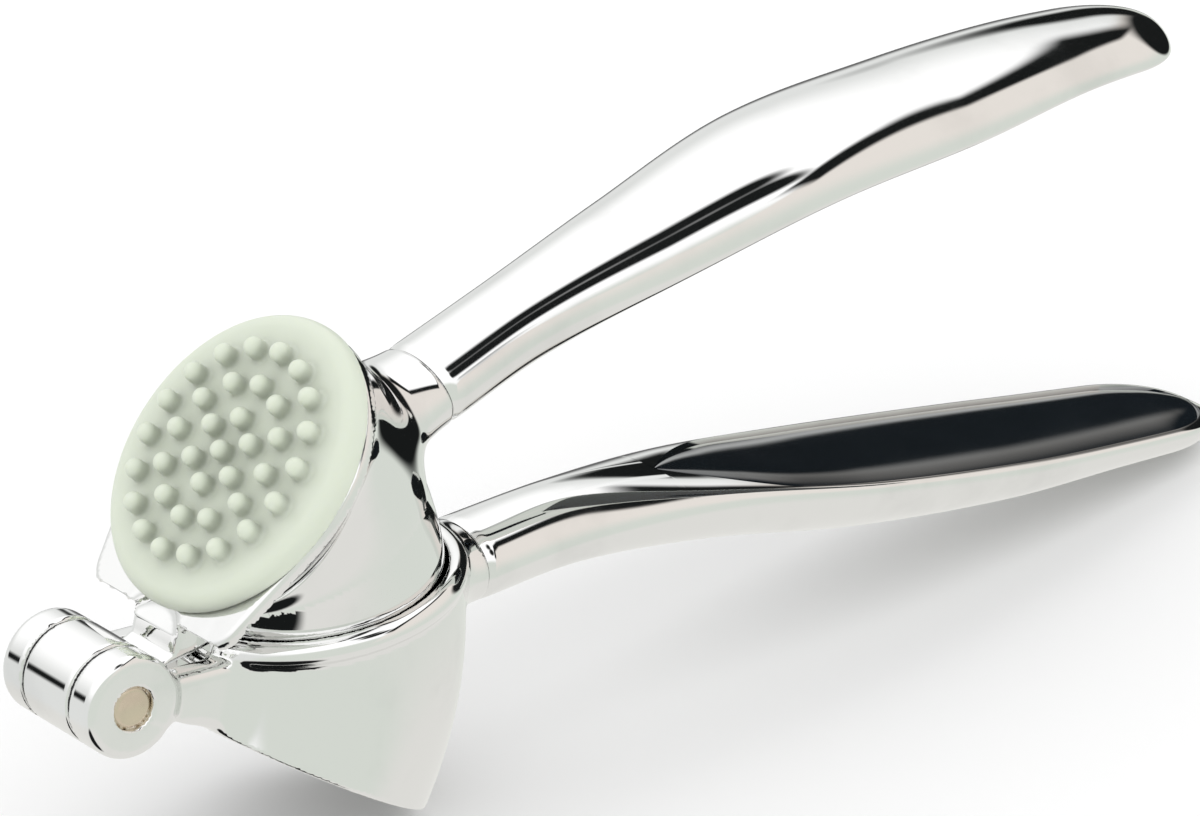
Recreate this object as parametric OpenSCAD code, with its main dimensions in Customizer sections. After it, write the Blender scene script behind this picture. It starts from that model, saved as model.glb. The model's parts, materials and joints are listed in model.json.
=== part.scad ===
// Garlic press: two arms on one hinge. The lower arm carries the hopper and its sieve, the upper arm
// carries the plunger, with a nubbed cleaner on its back that meets the sieve when it swings right round.
// Every piece is drawn about the hinge: X runs towards the lower grip's tip, Y along the hinge pin.
// stand() then sets the whole press down on the hopper's edge and the underside of the lower grip.

/* [Hinge] */
// Outside radius of the three knuckles
knuckle_r = 6.7; // [6:0.1:8]
// Width over all three knuckles
hinge_w = 19.5; // [17:0.1:24]
// Width of the upper arm's middle knuckle
middle_w = 9.5; // [7:0.1:11.5]
// Radius of the hinge pin
pin_r = 2.4; // [2:0.1:3]
// Thickness of each washer between the knuckles
washer_t = 0.4; // [0.3:0.05:0.6]

/* [Hopper] */
// Distance from the hinge to the middle of the hopper
hopper_d = 33.4; // [32:0.1:41]
// Radius of the pressing chamber
chamber_r = 17.4; // [16.9:0.1:18]
// Thickness of the hopper's wall
wall = 1.6; // [1.2:0.1:2]
// Angle of the hopper's top rim above the lower arm's line
ring_deg = 12.5; // [10:0.5:13]
// Angle of the hopper's bottom rim below the lower arm's line
rim_deg = 28.5; // [26:0.5:34.5]
// Thickness of the sieve plate
sieve_t = 1.2; // [0.8:0.1:1.5]
// Radius of each sieve hole
hole_r = 1.6; // [1.5:0.05:1.7]

/* [Plunger and cleaner] */
// Gap between the plunger and the chamber wall
plunger_gap = 0.3; // [0.2:0.05:0.5]
// Angle that the upper arm still closes from its drawn position
close_deg = 10.5; // [8:0.5:10.5]
// Angle of the cleaner's face above the lower arm's line
cleaner_deg = 51.5; // [48:0.5:54]
// Radius of the cleaner disc
cleaner_r = 19.9; // [18.8:0.1:20.4]
// Thickness of the cleaner disc without its nubs
cleaner_t = 2.8; // [2.4:0.1:3.6]
// Radius of each cleaner nub
nub_r = 1.3; // [1:0.05:1.3]
// Height of each cleaner nub
nub_h = 2.8; // [2.4:0.1:3.4]
// Distance between the rings of nubs, and between the rings of sieve holes
pitch = 4.65; // [3.85:0.05:4.8]

/* [Handles] */
// Distance from the hinge to the tip of each handle
reach = 180.5; // [150:0.5:217]
// How much shorter the upper handle is than the lower one
upper_trim = 3; // [0:0.5:5]
// Angle of the upper handle's tip above the lower handle's tip
open_deg = 18.2; // [17:0.1:22]
// Distance from the hopper's far wall to the joint between each casting and its handle
root_gap = 3.1; // [2.6:0.1:4.6]
// Half width of the grip where it is broadest
grip_w = 12.8; // [10.5:0.1:15.4]
// Half width of the neck next to the hopper
neck_w = 7.4; // [6.5:0.1:8.9]
// Depth of the recess that holds each grip inlay
recess = 1; // [0.8:0.1:1.2]
// Radius of the threaded stud that holds each handle
stud_r = 2; // [1.6:0.1:2.4]

/* [Hidden] */
$fn = 64;
chrome = [0.86, 0.87, 0.88];
steel = [0.7, 0.71, 0.72];

fit = 0.04;                    // radial clearance of the pin and the studs
seat_gap = 0.1;                // clearance round a piece that is set into another
ear_y = middle_w / 2 + washer_t + seat_gap;
head_r = pin_r + 0.4;          // the pin's two formed heads
head_t = 0.6;
head_deep = 0.4;               // how far the heads lie below the knuckles' outer faces
edge = 0.8;                    // chamfer of the outer knuckles

skin_r = chamber_r + wall;
root = hopper_d + skin_r + root_gap;  // from the hinge to the joint with each handle
bead_r = wall;                 // half thickness of the rolled lip
bead_deg = ring_deg - asin(bead_r / hopper_d);
ledge_w = 0.5;                 // ledge that carries the sieve
ledge_t = 1;
ear_fillet = 10;               // radius of the hollow under each ear
ear_low = 1.5 - rim_deg;       // lowest line of an ear, just above the bottom rim, in degrees
ear_high = 6;                  // its upper edge at the hopper, in degrees
ear_r = hopper_d - 13;         // how far an ear reaches into the hopper's wall
ear_top = 2.1;                 // height of its upper edge at the knuckle
past_rim = 3;                  // degrees by which the chamber is cut past the bottom rim and the lip
past_lip = 9;
slot_deg = -1;                 // floor of the slot between the ears, and its height
slot_h = 14;
ledge_low = 0.2;               // the ledge lies this far inside the bottom rim
pattern_d = hopper_d - 0.9;    // middle of the hole pattern and of the nubs, from the hinge
nub_rings = 3;                 // rings of nubs round the middle one

plunger_r = chamber_r - plunger_gap;
press_gap = 0.4;               // left between the plunger and the sieve when closed
plunger_end = ledge_t + sieve_t + press_gap;
plunger_deg = close_deg - rim_deg;
shell = 2.5;                   // wall of the hollow plunger
flare_deg = ring_deg + close_deg + 0.8;
disc_d = hopper_d - 1;         // middle of the cleaner disc, from the hinge
plug_d = hopper_d - 0.4;       // middle of the plug under the disc
seat_r = cleaner_r - 0.3;      // plate under the disc
disc_edge = 0.45 * cleaner_t;  // rounded edge of the cleaner disc
plug_h = 3;                    // plug under the disc, set into the plunger's hollow
plug_wall = 1.6;
plug_gap = 0.6;                // between the plug and the plunger's inside
lobe_r = 4.8;                  // the plate's two lobes, one on each side of the web
lobe_d = 15.3;
lobe_y = 10.2;
notch_r = 5.6;                 // hollow between the lobes
notch_d = 8.2;
notch_deep = 8;
plate_t = 1.6;
web_deg = 12;                  // underside of the web, above the lower arm's line
web_r = 17.5;                  // how far the web reaches into the head
// Back of the web: [distance from the hinge, degrees below the cleaner's face]
web_back = [[web_r, 14], [10.8, 22], [9.6, 31], [knuckle_r - 1, 36]];

stud_back = 4;                 // stud length in the casting
stud_out = 12;                 // stud length in the handle
tip_round = 11;                // length over which a handle's tip closes
tip_plan = 2.2;                // squareness of the tip seen from above, and from the side
tip_side = 3.5;
inlay_from = 0.245;            // place of the inlay's point along the handle
inlay_lead = 0.15;             // length over which the inlay widens
inlay_rim = 1;                 // metal left round the inlay
draft = 0.25;                  // slope of the recess walls

// Each handle's cross section at places from its root (0) to its tip (1): [place, share of the swell
// from neck to grip, depth outwards, depth inwards, squareness inwards, lower rise, upper rise]
stations = [
    [0.00, 0.00, 5.1, 5.1, 2.0,  3.6, 11.7],
    [0.13, 0.00, 5.2, 5.0, 2.0,  5.3, 12.7],
    [0.29, 0.45, 7.0, 2.5, 3.0,  6.0, 11.8],
    [0.48, 0.93, 8.0, 1.4, 4.5,  3.7, 11.0],
    [0.68, 1.00, 6.9, 1.5, 5.0,  1.0,  7.2],
    [0.84, 0.75, 5.2, 1.3, 5.0, -0.5,  3.9],
    [1.00, 0.40, 4.2, 1.2, 5.0, -1.8, -1.6]];
LOWER = 5;                     // column of the lower handle's rise
UPPER = 6;

// ---- small helpers ----
function mix(a, b, t) = a + (b - a) * t;
function clip(t) = max(0, min(1, t));
function total(v) = v * [for (x = v) 1];
function middle(r) = [for (k = [0 : 2]) total([for (p = r) p[k]]) / len(r)];

// Smooth value of column c of the stations at place t.
function slope(c, i) = let (a = max(i - 1, 0), b = min(i + 1, len(stations) - 1))
    (stations[b][c] - stations[a][c]) / (stations[b][0] - stations[a][0]);
function span(t, i = 0) = i >= len(stations) - 2 || t <= stations[i + 1][0] ? i : span(t, i + 1);
function at(c, t) = let (i = span(t), w = stations[i + 1][0] - stations[i][0],
    k = (t - stations[i][0]) / w, p = stations[i][c], q = stations[i + 1][c])
    (2 * k^3 - 3 * k^2 + 1) * p + (3 * k^2 - 2 * k^3) * q
    + (k^3 - 2 * k^2 + k) * w * slope(c, i) + (k^3 - k^2) * w * slope(c, i + 1);

// Closed skin over rings that all have the same number of points, with a fan over each end.
module loft(skin) {
    n = len(skin[0]);
    last = len(skin) - 1;
    points = concat([for (ring = skin) each ring], [middle(skin[0]), middle(skin[last])]);
    sides = [for (i = [0 : last - 1], j = [0 : n - 1]) let (a = i * n + j, b = i * n + (j + 1) % n)
        each [[a, b + n, b], [a, a + n, b + n]]];
    start = [for (j = [0 : n - 1]) [n * (last + 1), j, (j + 1) % n]];
    end = [for (j = [0 : n - 1]) [n * (last + 1) + 1, last * n + (j + 1) % n, last * n + j]];
    polyhedron(points, concat(sides, start, end));
}
// Circle of radius r, d out from the hinge, swept about the hinge from angle a to angle b.
module bend(r, d, a, b) rotate([90, 0, 0]) rotate([0, 0, a]) rotate_extrude(angle = b - a)
    translate([d, 0]) circle(r);
// Radial plane at angle a: X runs out from the hinge, Z towards an opening arm.
module plane(a) rotate([0, -a, 0]) children();
module axle(r, w) rotate([90, 0, 0]) cylinder(r = r, h = w, center = true);
module profile(w) rotate([90, 0, 0]) linear_extrude(w, center = true) children();
function ray(r, a) = r * [cos(a), sin(a)];

// ---- handles ----
function along(t, col) = mix(root, reach - (col == UPPER ? upper_trim : 0), t);
function place(s) = (s - root) / (reach - root);
function round_off(t, n, extra = 0) =
    pow(1 - pow(clip((mix(root, reach, t) + extra - reach + tip_round) / tip_round), n), 1 / n);
function half(t) = mix(neck_w, grip_w, at(1, t)) * round_off(t, tip_plan);
function inside(t, y) = let (n = at(4, t))
    at(3, t) * round_off(t, tip_side) * pow(1 - pow(min(1, abs(y) / half(t)), n), 1 / n);
function inlay_half(t) = mix(neck_w, grip_w, at(1, t)) * round_off(t, tip_plan, inlay_rim)
    * pow(sin(90 * clip((t - inlay_from) / inlay_lead)), 0.8) - inlay_rim;
function inlaid(t) = t > inlay_from && inlay_half(t) > 0.6;
function floor_half(t) = inlaid(t) ? inlay_half(t) : 0.45 * half(t);
function sink(t) = inlaid(t) ? recess : 0;

places = concat(
    [0, 0.004, 0.04, 0.08, 0.12, 0.16, 0.2, inlay_from],
    [for (k = [0.04, 0.08, 0.15, 0.25, 0.37, 0.5, 0.65, 0.8, 1]) inlay_from + k * inlay_lead],
    [for (k = [1 : 8]) mix(inlay_from + inlay_lead, place(reach - tip_round), k / 8)],
    [for (a = [14, 28, 40, 50, 58, 66, 74, 81, 87]) place(reach - tip_round * (1 - sin(a)))]);

// One ring of a handle: round outwards (below), flattened inwards, with the inlay's recess.
function handle_ring(t, col, flip, g = 1) = let (a = half(t), y1 = floor_half(t), z = flip * at(col, t),
    d = at(2, t) * round_off(t, tip_side), s = along(t, col))
    concat([for (i = [0 : 16]) let (f = 180 + i * 180 / 16) [s, g * a * cos(f), z + g * d * sin(f)]],
           [for (k = [1 : 5]) let (y = mix(a, y1, 1 - cos(18 * k))) [s, g * y, z + g * inside(t, y)]],
           [for (k = [1, 0, -1]) let (y = k * (y1 - draft))
                [s, g * y, z + g * inside(t, y) - sink(t)]],
           [for (k = [5 : -1 : 1]) let (y = mix(a, y1, 1 - cos(18 * k))) [s, -g * y, z + g * inside(t, y)]]);
module handle_skin(col, flip)
    loft([for (i = [0 : len(places) - 1]) handle_ring(places[i], col, flip, i == 0 ? 0.93 : 1)]);

function inlay_ring(t, col, flip) = let (b = inlay_half(t) - draft - seat_gap, y1 = inlay_half(t) - seat_gap,
    z = flip * at(col, t), s = along(t, col))
    concat([for (k = [-1, 0, 1]) [s, k * b, z + inside(t, k * (b + seat_gap)) - recess + seat_gap]],
           [for (i = [0 : 6]) let (y = y1 * cos(30 * i)) [s, y, z + inside(t, y)]]);
module inlay_skin(col, flip) loft([for (t = places) if (inlaid(t)) inlay_ring(t, col, flip)]);

// ---- how the press stands: on the hopper's lowest edge and the lowest ring of the lower grip ----
hopper_low = (hopper_d + skin_r) * [cos(rim_deg), -sin(rim_deg)];
rest_deg = min([for (t = places) atan2(at(LOWER, t) - at(2, t) * round_off(t, tip_side) - hopper_low[1],
                                       along(t, LOWER) - hopper_low[0])]);
hinge_z = hopper_low[0] * sin(rest_deg) - hopper_low[1] * cos(rest_deg);
lower_tip = [for (p = handle_ring(places[len(places) - 1], LOWER, 1))
    p[0] * cos(rest_deg) + p[2] * sin(rest_deg)];
upper_tip = along(1, UPPER) * cos(open_deg - rest_deg);
hinge_x = (knuckle_r - max(max(lower_tip), upper_tip)) / 2;
module stand() translate([hinge_x, 0, hinge_z]) rotate([0, rest_deg, 0]) children();

// The casting's end of a handle joint: [distance behind the joint, growth of the neck's section].
collar = [[9, 1.3], [6.5, 1.22], [4, 1.1], [2, 1.02], [0.5, 1], [0, 0.93]];
module boss_skin(col, flip) loft([for (c = collar)
    [for (p = handle_ring(0, col, flip, c[1])) [p[0] - c[0], p[1], p[2]]]]);

module upper_frame() plane(open_deg) mirror([0, 0, 1]) children();
module stud(col, flip, r, extra) translate([root - stud_back - extra, 0, flip * at(col, 0)])
    rotate([0, 90, 0]) cylinder(r = r, h = stud_back + stud_out + 2 * extra);

module lower_handle() color(chrome) stand() difference() {
    handle_skin(LOWER, 1);
    stud(LOWER, 1, stud_r + fit, 0.5);
}
module upper_handle() color(chrome) stand() upper_frame() difference() {
    handle_skin(UPPER, -1);
    stud(UPPER, -1, stud_r + fit, 0.5);
}
module lower_grip_inlay() color([0.06, 0.08, 0.1]) stand() inlay_skin(LOWER, 1);
module upper_grip_inlay() color([0.06, 0.08, 0.1]) stand() upper_frame() inlay_skin(UPPER, -1);
module lower_handle_stud() color(steel) stand() stud(LOWER, 1, stud_r, 0);
module upper_handle_stud() color(steel) stand() upper_frame() stud(UPPER, -1, stud_r, 0);

// ---- hinge ----
module outer_knuckle() {
    w = hinge_w / 2 - ear_y;
    rotate([-90, 0, 0]) translate([0, 0, ear_y]) {
        cylinder(r = knuckle_r, h = w - edge);
        translate([0, 0, w - edge]) cylinder(r1 = knuckle_r, r2 = knuckle_r - edge, h = edge);
    }
}
module pin_heads(r, t, extra) for (side = [0, 1]) mirror([0, side, 0]) rotate([-90, 0, 0])
    translate([0, 0, hinge_w / 2 - head_deep - head_t]) cylinder(r = r, h = t + extra);
module hinge_pin() color([0.78, 0.7, 0.58]) stand() {
    axle(pin_r, hinge_w - 2 * head_deep - head_t);
    pin_heads(head_r, head_t, 0);
}
module hinge_washers() color([0.2, 0.2, 0.2]) stand() for (side = [0, 1]) mirror([0, side, 0])
    rotate([-90, 0, 0]) translate([0, 0, middle_w / 2 + seat_gap / 2]) difference() {
        cylinder(r = knuckle_r - 0.5, h = washer_t);
        translate([0, 0, -1]) cylinder(r = pin_r + seat_gap, h = washer_t + 2);
    }

// ---- lower arm ----
// Side view of an ear: a hollow below, tangent to the knuckle and to the ear's lowest line, and a
// straight edge above.
module ear_outline() {
    c_deg = ear_low - asin(ear_fillet / (knuckle_r + ear_fillet));
    c = ray(knuckle_r + ear_fillet, c_deg);
    polygon(concat([[0, 0]], [for (k = [0 : 7]) c + ray(ear_fillet, mix(180 + c_deg, 90 + ear_low, k / 7))],
                   [ray(ear_r, ear_low), ray(ear_r, ear_high), [knuckle_r - 0.6, ear_top]]));
}
module ear() translate([0, (ear_y + hinge_w / 2 - edge) / 2, 0]) profile(hinge_w / 2 - edge - ear_y)
    ear_outline();
module hopper_body() color(chrome) stand() {
    difference() {
        hopper_outside();
        bend(chamber_r, hopper_d, -rim_deg - past_rim, ring_deg + past_lip);
        // slot between the ears that lets the upper arm's web pass
        plane(slot_deg) translate([knuckle_r, -ear_y, 0])
            cube([hopper_d - chamber_r - knuckle_r + 2, 2 * ear_y, slot_h]);
        axle(pin_r + fit, 2 * hinge_w);
        pin_heads(head_r + fit, head_t, 1);
        stud(LOWER, 1, stud_r + fit, 0);
    }
    ledge();
}
module ledge() plane(-rim_deg) translate([hopper_d, 0, ledge_low]) difference() {
    cylinder(r = chamber_r + wall / 2, h = ledge_t - ledge_low);
    translate([0, 0, -1]) cylinder(r = chamber_r - ledge_w, h = ledge_t + 2);
}
module hopper_outside() {
    bend(skin_r, hopper_d, -rim_deg, bead_deg);
    plane(bead_deg) translate([hopper_d, 0, 0]) rotate_extrude() translate([skin_r - bead_r / 2, 0])
        circle(bead_r);
    boss_skin(LOWER, 1);
    for (side = [0, 1]) mirror([0, side, 0]) {
        outer_knuckle();
        ear();
    }
}
// Rings of spots round a middle one, the same for the nubs and for the holes they clear.
module pattern() translate([pattern_d, 0, 0]) for (ring = [0 : nub_rings], k = [1 : max(1, 6 * ring)])
    rotate([0, 0, 60 * k / max(1, ring)]) translate([ring * pitch, 0, 0]) children();
module sieve_plate() color(steel) stand() plane(-rim_deg) difference() {
    translate([hopper_d, 0, ledge_t]) cylinder(r = chamber_r - seat_gap, h = sieve_t);
    pattern() cylinder(r = hole_r, h = 2 * (ledge_t + sieve_t), $fn = 24);
}

// ---- upper arm ----
// Outline of the plate under the cleaner: the disc's seat joined to two lobes next to the hinge.
// corner() is the outline's point that lies furthest in the direction f.
rounds = [[disc_d, 0, seat_r], [lobe_d, lobe_y, lobe_r], [lobe_d, -lobe_y, lobe_r]];
function corner(f) = let (far = [for (c = rounds) c[0] * cos(f) + c[1] * sin(f) + c[2]])
    [for (i = [0 : 2]) if (far[i] == max(far))
        [rounds[i][0] + rounds[i][2] * cos(f), rounds[i][1] + rounds[i][2] * sin(f)]][0];
directions = [2.5 : 5 : 360];
function plate_ring(v, g) =
    [for (f = directions) let (p = corner(f)) [p[0] + g * cos(f), p[1] + g * sin(f), v]];
// From the plate's edge round to the plunger's circle, on a curve that meets the plunger squarely.
drop = cleaner_deg - flare_deg;
lead = 9;
function flare_ring(k) = [for (f = directions) let (p = corner(f), u = hopper_d + plunger_r * cos(f),
    a = [p[0], p[1], -cleaner_t - plate_t],
    c = [u * cos(drop), plunger_r * sin(f), -u * sin(drop)],
    b = c + lead * min(1, u / hopper_d) * [sin(drop), 0, cos(drop)])
    (1 - k)^2 * a + 2 * k * (1 - k) * b + k^2 * c];
module head_skin() loft(concat([for (k = [1 : -1 / 7 : 0.01]) flare_ring(k)],
    [plate_ring(-cleaner_t - plate_t, 0), plate_ring(-cleaner_t - 0.4, 0), plate_ring(-cleaner_t, -0.4)]));
module web_outline() polygon(concat([ray(pin_r, web_deg), ray(web_r, web_deg)],
    [for (w = web_back) ray(w[0], cleaner_deg - w[1])]));
module plunger_head() color(chrome) stand() difference() {
    union() {
        difference() {
            bend(plunger_r, hopper_d, plunger_deg, flare_deg + 0.05);
            plane(plunger_deg) translate([0, -hopper_d, -1])
                cube([2 * hopper_d, 2 * hopper_d, 1 + plunger_end]);
        }
        difference() {
            plane(cleaner_deg) head_skin();
            plane(cleaner_deg) translate([notch_d, 0, -notch_deep]) cylinder(r = notch_r, h = notch_deep);
        }
        profile(middle_w) web_outline();
        axle(knuckle_r, middle_w);
        upper_frame() boss_skin(UPPER, -1);
    }
    bend(plunger_r - shell, hopper_d, plunger_deg + 10, cleaner_deg + 1);
    axle(pin_r + fit, 2 * middle_w);
    upper_frame() stud(UPPER, -1, stud_r + fit, 0);
}
module nub() rotate_extrude($fn = 24) intersection() {
    square([nub_r, nub_h]);
    union() {
        square([nub_r, nub_h - nub_r]);
        translate([0, nub_h - nub_r]) circle(nub_r);
    }
}
module cleaner_disc() color([0.8, 0.85, 0.78]) stand() plane(cleaner_deg) {
    translate([disc_d, 0, -cleaner_t]) rotate_extrude() {
        square([cleaner_r - disc_edge, cleaner_t]);
        square([cleaner_r, cleaner_t - disc_edge]);
        translate([cleaner_r - disc_edge, cleaner_t - disc_edge]) circle(disc_edge);
    }
    translate([plug_d, 0, -cleaner_t - plug_h]) difference() {
        cylinder(r = plunger_r - shell - plug_gap, h = plug_h);
        translate([0, 0, -1]) cylinder(r = plunger_r - shell - plug_gap - plug_wall, h = plug_h + 1);
    }
    pattern() nub();
}

hopper_body();
sieve_plate();
lower_handle();
lower_grip_inlay();
lower_handle_stud();
hinge_pin();
hinge_washers();
plunger_head();
cleaner_disc();
upper_handle();
upper_grip_inlay();
upper_handle_stud();
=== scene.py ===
"""Garlic press: smooth chrome castings, lofted handles, a moulded cleaner pad and a pale studio.

Shapes are worked out in the press's own frame: the hinge at the origin, X along the lower arm, Y along
the hinge pin, Z up. stand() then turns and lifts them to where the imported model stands.
"""

import json
import math

import bpy
import numpy as np
from mathutils import Matrix


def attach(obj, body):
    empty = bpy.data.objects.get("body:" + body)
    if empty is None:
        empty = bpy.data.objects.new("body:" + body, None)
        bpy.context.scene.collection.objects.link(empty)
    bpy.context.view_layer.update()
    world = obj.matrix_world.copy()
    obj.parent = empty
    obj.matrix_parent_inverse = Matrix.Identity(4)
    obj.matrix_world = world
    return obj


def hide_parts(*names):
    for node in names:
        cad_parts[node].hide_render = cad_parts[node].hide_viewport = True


bl_info = {
    "name": "Garlic press",
    "version": (1, 0, 0),
    "blender": (4, 5, 0),
    "location": "3D View > Sidebar > Garlic press",
    "description": "Builds the looks of a hinged garlic press round its packed model",
    "category": "Object",
}

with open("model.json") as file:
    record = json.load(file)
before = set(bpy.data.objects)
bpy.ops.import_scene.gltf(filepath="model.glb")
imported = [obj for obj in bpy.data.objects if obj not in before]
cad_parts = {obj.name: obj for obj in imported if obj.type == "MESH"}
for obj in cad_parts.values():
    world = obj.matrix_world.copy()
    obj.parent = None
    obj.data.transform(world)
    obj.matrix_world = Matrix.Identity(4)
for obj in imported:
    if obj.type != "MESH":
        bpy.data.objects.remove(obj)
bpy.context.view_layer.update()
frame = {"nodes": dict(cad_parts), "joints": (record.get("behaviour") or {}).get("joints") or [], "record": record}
HINGE = np.array(frame["joints"][0]["pos_m"])
RIM_AXIS = frame["record"]["mounts"][0]["axis"]
MM = 0.001


# ---------------------------------------------------------------- sizes and colours
def length(name, what, value):
    return bpy.props.FloatProperty(name=name, description=what, default=value * MM, unit="LENGTH",
                                   precision=5)


def angle(name, what, degrees):
    return bpy.props.FloatProperty(name=name, description=what, default=math.radians(degrees),
                                   unit="ROTATION")


def colour(name, what, value):
    return bpy.props.FloatVectorProperty(name=name, description=what, default=value, size=3,
                                         subtype="COLOR", min=0, max=1)


class PressSizes(bpy.types.PropertyGroup):
    """Sizes of the press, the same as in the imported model."""
    hopper_d: length("Hopper distance", "From the hinge to the middle of the hopper", 33.4)
    skin_r: length("Hopper radius", "Outside radius of the hopper", 19.0)
    chamber_r: length("Chamber radius", "Inside radius of the hopper", 17.4)
    plunger_r: length("Plunger radius", "Outside radius of the plunger", 17.1)
    knuckle_r: length("Knuckle radius", "Outside radius of the hinge knuckles", 6.7)
    hinge_w: length("Hinge width", "Width over the three knuckles", 19.5)
    middle_w: length("Middle knuckle width", "Width of the upper arm's knuckle and web", 9.5)
    washer_gap: length("Washer gap", "Gap between two knuckles", 0.5)
    pin_r: length("Pin radius", "Radius of the hinge pin's bore", 2.44)
    pin_head_r: length("Pin head radius", "Radius of the pin's formed ends", 2.84)
    pad_d: length("Pad distance", "From the hinge to the middle of the cleaner pad", 32.4)
    pad_r: length("Pad radius", "Radius of the cleaner pad", 19.9)
    pad_t: length("Pad thickness", "Thickness of the cleaner pad without its nubs", 2.8)
    nub_r: length("Nub radius", "Radius of a cleaner nub", 1.3)
    nub_h: length("Nub height", "Height of a cleaner nub", 2.8)
    nub_pitch: length("Nub pitch", "Distance between two rings of nubs", 4.65)
    nub_d: length("Nub distance", "From the hinge to the middle of the rings of nubs", 32.5)
    root: length("Handle root", "From the hinge to the joint between a casting and its handle", 55.5)
    reach: length("Handle reach", "From the hinge to the lower handle's tip", 180.5)
    upper_trim: length("Upper handle trim", "How much shorter the upper handle is", 3.0)
    grip_w: length("Grip half width", "Half width of the grip where it is broadest", 12.8)
    neck_w: length("Neck half width", "Half width of the neck next to the hopper", 7.4)
    recess: length("Inlay recess", "Depth of the recess that holds an inlay", 1.0)
    rim_a: angle("Outlet angle", "Hopper's lower rim below the lower arm's line", 28.5)
    ring_a: angle("Lip angle", "Hopper's upper lip above the lower arm's line", 12.5)
    pad_a: angle("Pad angle", "Cleaner pad's face above the lower arm's line", 51.5)
    open_a: angle("Opening angle", "Upper handle above the lower handle", 18.2)
    close_a: angle("Closing angle", "Travel left before the plunger meets the sieve", 10.5)
    cell: length("Mesh cell", "Grid cell of the castings' meshes", 0.45)


class PressColours(bpy.types.PropertyGroup):
    """Colours of the press and of its studio."""
    chrome: colour("Chrome", "Polished chrome plate", (0.86, 0.86, 0.855))
    sieve: colour("Sieve", "Satin stainless sheet", (0.55, 0.55, 0.54))
    stud: colour("Stud", "Plain steel stud", (0.42, 0.42, 0.43))
    pin: colour("Pin", "Warm dull metal of the pin", (0.72, 0.62, 0.49))
    pad: colour("Pad", "Pale green-white translucent moulding", (0.56, 0.6, 0.51))
    grip: colour("Grip", "Glossy black inlay", (0.008, 0.012, 0.016))
    washer: colour("Washer", "Dark washer", (0.02, 0.02, 0.022))
    tent_top: colour("Tent top", "White top of the tent", (1, 1, 1))
    tent_warm: colour("Tent fill", "Warm card in front of the grips", (0.72, 0.68, 0.64))
    tent_front: colour("Tent front", "Pale grey-green card on the camera's side", (0.6, 0.63, 0.585))
    tent_wall: colour("Tent wall", "Pale grey wall below the white top", (0.66, 0.67, 0.66))
    tent_floor: colour("Tent floor", "The pale floor as the chrome sees it", (0.66, 0.655, 0.63))
    tent_edge: colour("Tent edge", "Grey card that draws the outline", (0.12, 0.12, 0.12))
    tent_dark: colour("Tent dark", "Dark cards and the slit round the fill", (0.008, 0.009, 0.009))
    floor: colour("Floor", "Pale floor", (0.86, 0.86, 0.86))


class PressStudio(bpy.types.PropertyGroup):
    """Camera and light."""
    azimuth: angle("View azimuth", "Camera's direction round the press", -38.17)
    elevation: angle("View elevation", "Camera's height above the lower arm's line", 21.07)
    roll: angle("View roll", "Camera's tilt about its own axis", 1.72)
    distance: length("View distance", "Camera's distance from the hinge, along its axis", 850.3)
    aim_right: length("Aim right", "How far right of the hinge the camera aims", 62.2)
    aim_up: length("Aim up", "How far above the hinge the camera aims", 33.5)
    lens: bpy.props.FloatProperty(name="Lens", description="Focal length in millimetres",
                                  default=209.3)
    sky: bpy.props.FloatProperty(name="Sky", description="Brightness of the white tent",
                                 default=1.25, min=0)


def sizes():
    return bpy.context.scene.press_sizes


def colours():
    return bpy.context.scene.press_colours


def studio():
    return bpy.context.scene.press_studio


# ---------------------------------------------------------------- the press's own frame
def rest_turn():
    """Rotation that lays the lower arm's line down to where it rests."""
    a = math.atan2(-RIM_AXIS[0], -RIM_AXIS[2]) - sizes().rim_a
    return np.array([[math.cos(a), 0, math.sin(a)], [0, 1, 0], [-math.sin(a), 0, math.cos(a)]])


def stand(points):
    return points @ rest_turn().T + HINGE


def turn(points, a):
    """Turns points about the hinge by angle a, upwards."""
    x, y, z = np.moveaxis(points, -1, 0)
    return np.stack([x * math.cos(a) - z * math.sin(a), y, x * math.sin(a) + z * math.cos(a)], -1)


def flip(points):
    return points * np.array([1, 1, -1])


# ---------------------------------------------------------------- solids as distances
# Each solid is a function of points: negative inside, positive outside, in metres.
def join(a, b, k=0.0):
    """Union with a fillet of about size k."""
    h = np.maximum(k - np.abs(a - b), 0) / k if k else 0
    return np.minimum(a, b) - h * h * k / 4


def meet(a, b, k=0.0):
    """Intersection with a rounded edge of about size k."""
    return -join(-a, -b, k)


def cut(a, b, k=0.0):
    return meet(a, -b, k)


def above(p, a, lift=0.0):
    """Height over the radial plane at angle a."""
    return p[:, 2] * math.cos(a) - p[:, 0] * math.sin(a) - lift


def out(p):
    """Distance from the hinge's axis."""
    return np.hypot(p[:, 0], p[:, 2])


def along(p, a):
    return p[:, 0] * math.cos(a) + p[:, 2] * math.sin(a)


def bent_tube(p, r, d):
    return np.hypot(out(p) - d, p[:, 1]) - r


def ray(r, degrees):
    return (r * math.cos(math.radians(degrees)), r * math.sin(math.radians(degrees)))


def outline(x, y, corners):
    """Signed distance to a polygon."""
    near = np.full(x.shape, np.inf)
    inside = np.zeros(x.shape, bool)
    for (ax, ay), (bx, by) in zip(corners, corners[1:] + corners[:1]):
        ex, ey = bx - ax, by - ay
        t = np.clip(((x - ax) * ex + (y - ay) * ey) / (ex * ex + ey * ey), 0, 1)
        near = np.minimum(near, np.hypot(x - ax - t * ex, y - ay - t * ey))
        crosses = (ay > y) != (by > y)
        with np.errstate(divide="ignore", invalid="ignore"):
            inside ^= crosses & (x < ax + (y - ay) * ex / ey)
    return np.where(inside, -near, near)


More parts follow.
